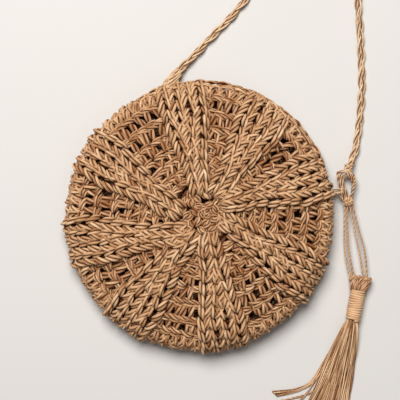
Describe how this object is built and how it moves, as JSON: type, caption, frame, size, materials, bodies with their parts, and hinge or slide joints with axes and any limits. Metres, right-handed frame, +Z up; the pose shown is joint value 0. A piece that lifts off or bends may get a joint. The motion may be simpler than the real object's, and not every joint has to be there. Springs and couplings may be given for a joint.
{
  "type": "circle bag",
  "caption": "Round crocheted straw crossbody bag lying on its back: ribbed domed front, open mouth edge, long braided cord strap and a hanging tassel.",
  "frame": {"origin": "middle of the bag's flat back, on the surface that it lies on", "axes": "+Z up out of the ribbed front, +Y towards the mouth and the strap, +X along the line of the strap's two ends"},
  "size_m": [0.2517, 0.3301, 0.0385],
  "materials": {
    "straw_panel": "matte twisted paper straw",
    "straw_cord": "matte braided paper straw",
    "straw_tassel": "matte twisted paper straw"
  },
  "bodies": {
    "bag": {"front_panel": "straw_panel", "back_panel": "straw_panel", "rim_seam": "straw_panel", "back_mouth_edging": "straw_panel", "strap_end_loop": "straw_cord", "rim_tie": "straw_cord", "strap_left_anchor": "straw_cord"},
    "front_mouth": {"front_mouth_panel": "straw_panel", "front_mouth_edging": "straw_panel"},
    "strap": {"strap_left_knot": "straw_cord", "strap_right_knot": "straw_cord", "strap_left_run": "straw_cord", "strap_coil": "straw_cord", "strap_coil_tie": "straw_cord", "strap_right_run": "straw_cord"},
    "hitch": {"tassel_hitch": "straw_cord"},
    "tassel": {"tassel_cord_1": "straw_tassel", "tassel_cord_2": "straw_tassel", "tassel_cord_3": "straw_tassel", "tassel_cord_4": "straw_tassel", "tassel_head": "straw_tassel", "tassel_core": "straw_tassel", "tassel_neck_wrap": "straw_tassel", "tassel_skirt": "straw_tassel", "tassel_stray_strands": "straw_tassel"}
  },
  "joints": [
    {"name": "mouth_open", "type": "hinge", "parent": "bag", "child": "front_mouth", "pos_m": [0, 0.056, 0.036], "axis": [1, 0, 0], "range_deg": [0, 40]},
    {"name": "strap_swing", "type": "hinge", "parent": "bag", "child": "strap", "pos_m": [-0.06415, 0.06952, 0.007], "axis": [0.9977, 0.0674, 0], "range_deg": [0, 50]},
    {"name": "tassel_turn", "type": "hinge", "parent": "bag", "child": "hitch", "pos_m": [0.08058, 0.06205, 0.007], "axis": [0, 0, 1], "range_deg": [-10, 40]},
    {"name": "tassel_lift", "type": "hinge", "parent": "hitch", "child": "tassel", "pos_m": [0.08317, 0.05901, 0.007], "axis": [-0.7604, -0.6494, 0], "range_deg": [0, 90]}
  ]
}
